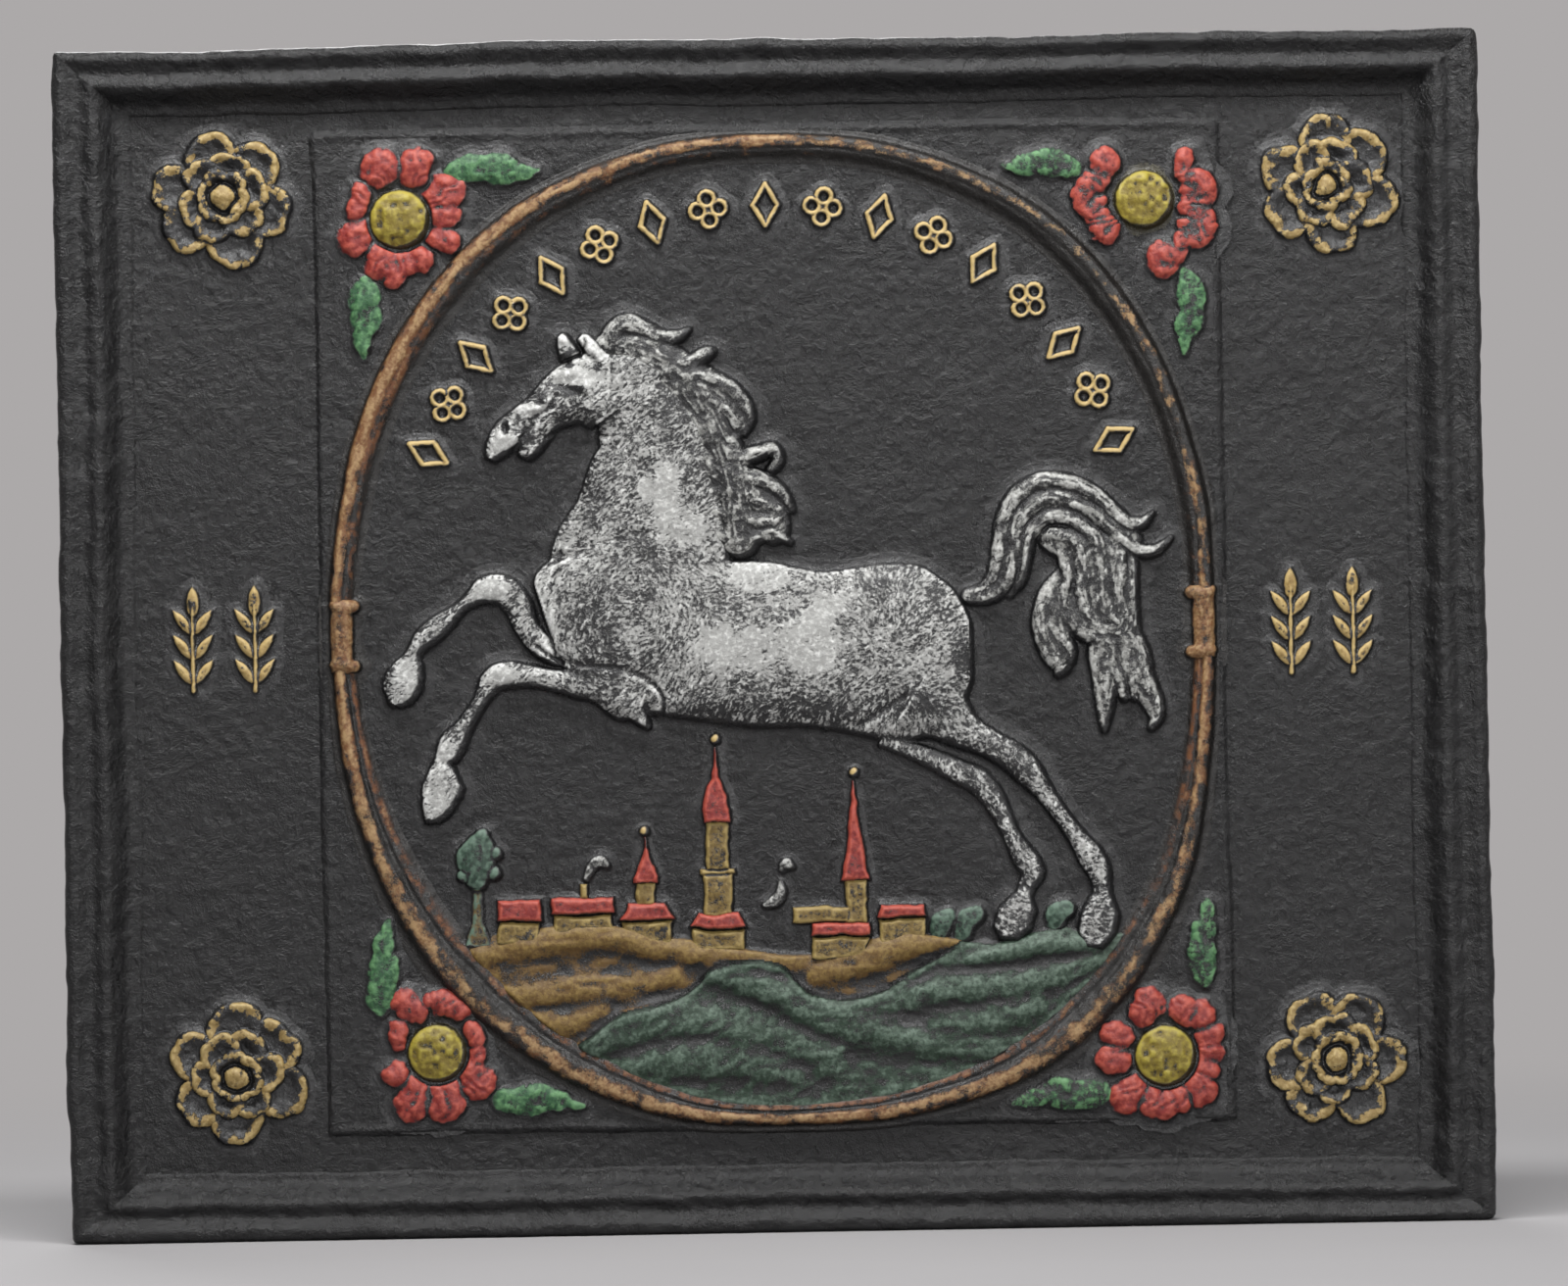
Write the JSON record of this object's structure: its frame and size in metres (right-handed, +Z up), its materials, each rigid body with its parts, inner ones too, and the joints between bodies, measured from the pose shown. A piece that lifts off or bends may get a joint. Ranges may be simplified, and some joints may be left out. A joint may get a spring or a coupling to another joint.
{
  "type": "stove plate",
  "caption": "Cast-iron stove plate with a moulded frame and painted relief: a leaping horse over a town in an oval hoop, with flowers, leaves and rosettes.",
  "frame": {"origin": "middle of the bottom edge, at half the depth", "axes": "+X to the viewer's right along the bottom edge, +Z up, the carved face looks towards -Y"},
  "size_m": [0.6, 0.022, 0.502],
  "materials": {
    "black_iron": "rough cast, blackened",
    "silver_paint": "worn dry-brushed paint",
    "gold_paint": "worn gilt paint",
    "red_paint": "satin paint",
    "yellow_paint": "satin paint",
    "leaf_green_paint": "satin paint",
    "hill_green_paint": "worn paint",
    "ochre_paint": "worn paint",
    "brown_paint": "worn paint over black"
  },
  "bodies": {
    "root": {"slab": "black_iron", "top_moulding": "black_iron", "bottom_moulding": "black_iron", "left_moulding": "black_iron", "right_moulding": "black_iron", "centre_panel": "black_iron", "upper_hoop": "brown_paint", "lower_hoop": "brown_paint", "left_clasp": "brown_paint", "right_clasp": "brown_paint", "horse": "silver_paint", "mane": "silver_paint", "tail": "silver_paint", "field": "ochre_paint", "hills": "hill_green_paint", "hedges": "leaf_green_paint", "tree": "leaf_green_paint", "chimney_smoke": "silver_paint", "left_cottage_wall": "ochre_paint", "left_cottage_roof": "red_paint", "long_house_wall": "ochre_paint", "long_house_roof": "red_paint", "small_church_wall": "ochre_paint", "small_church_roof": "red_paint", "tall_church_wall": "ochre_paint", "tall_church_roof": "red_paint", "spire_church_wall": "ochre_paint", "spire_church_roof": "red_paint", "right_cottage_wall": "ochre_paint", "right_cottage_roof": "red_paint", "spire_balls": "gold_paint", "arch_lozenges": "gold_paint", "arch_quatrefoils": "gold_paint", "left_sprigs": "gold_paint", "right_sprigs": "gold_paint", "rosette_top_left": "gold_paint", "rosette_top_right": "gold_paint", "rosette_bottom_left": "gold_paint", "rosette_bottom_right": "gold_paint", "petals_top_left": "red_paint", "petals_top_right": "red_paint", "petals_bottom_left": "red_paint", "petals_bottom_right": "red_paint", "eye_top_left": "yellow_paint", "eye_top_right": "yellow_paint", "eye_bottom_left": "yellow_paint", "eye_bottom_right": "yellow_paint", "leaf_top_left_upper": "leaf_green_paint", "leaf_top_left_lower": "leaf_green_paint", "leaf_top_right_upper": "leaf_green_paint", "leaf_top_right_lower": "leaf_green_paint", "leaf_bottom_left_upper": "leaf_green_paint", "leaf_bottom_left_lower": "leaf_green_paint", "leaf_bottom_right_upper": "leaf_green_paint", "leaf_bottom_right_lower": "leaf_green_paint"}
  },
  "joints": []
}
